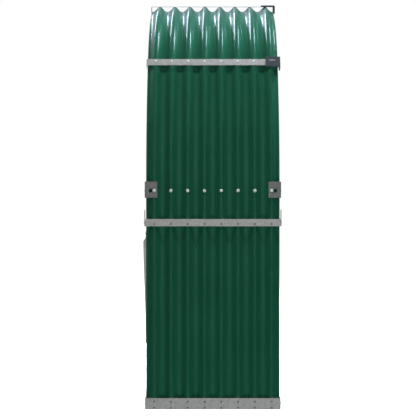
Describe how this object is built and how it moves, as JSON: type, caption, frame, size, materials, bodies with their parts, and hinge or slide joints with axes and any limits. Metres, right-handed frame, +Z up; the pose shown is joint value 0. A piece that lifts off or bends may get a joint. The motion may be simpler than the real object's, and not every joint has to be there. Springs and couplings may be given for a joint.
{
  "type": "firewood rack",
  "caption": "Narrow upright firewood rack of corrugated sheet on a galvanised strip frame, with closed back and sides, an open front and a roof that curves forward.",
  "frame": {"origin": "centre of the footprint's bounding box, on the ground", "axes": "+Z up, +Y towards the open front, so the closed corrugated back faces -Y; +X to the right when looking at the back"},
  "size_m": [0.4569, 0.3979, 1.4056],
  "materials": {
    "green_coat": "smooth factory coat, semi-gloss",
    "zinc": "galvanised, fine spangle",
    "dark_zinc": "galvanised, dulled dark grey",
    "black_plastic": "fine-grained moulded plastic",
    "bright_zinc": "bright zinc plate"
  },
  "bodies": {
    "root": {"back_lower_sheet": "green_coat", "back_upper_sheet": "green_coat", "roof_sheet": "green_coat", "left_side_sheet": "green_coat", "right_side_sheet": "green_coat", "left_rear_post": "zinc", "right_rear_post": "zinc", "left_front_post": "zinc", "right_front_post": "zinc", "left_roof_rail": "zinc", "right_roof_rail": "zinc", "bottom_band": "zinc", "middle_band": "zinc", "upper_band": "zinc", "roof_strip": "zinc", "left_bottom_band": "zinc", "right_bottom_band": "zinc", "left_middle_band": "zinc", "right_middle_band": "zinc", "left_side_rail": "zinc", "right_side_rail": "zinc", "front_sill": "zinc", "base_tray": "zinc", "foot_plates": "zinc", "lap_nuts": "zinc", "corner_rivets": "zinc", "side_rivets": "zinc", "sill_rivets": "zinc", "side_lugs": "zinc", "side_strap": "zinc", "strap_rivets": "zinc", "left_hook_plate": "dark_zinc", "right_hook_plate": "dark_zinc", "bottom_band_rivets": "dark_zinc", "middle_band_rivets": "dark_zinc", "band_guard": "black_plastic", "roof_guard": "black_plastic", "lap_screws": "bright_zinc", "upper_band_rivets": "bright_zinc", "roof_strip_rivets": "bright_zinc"}
  },
  "joints": []
}
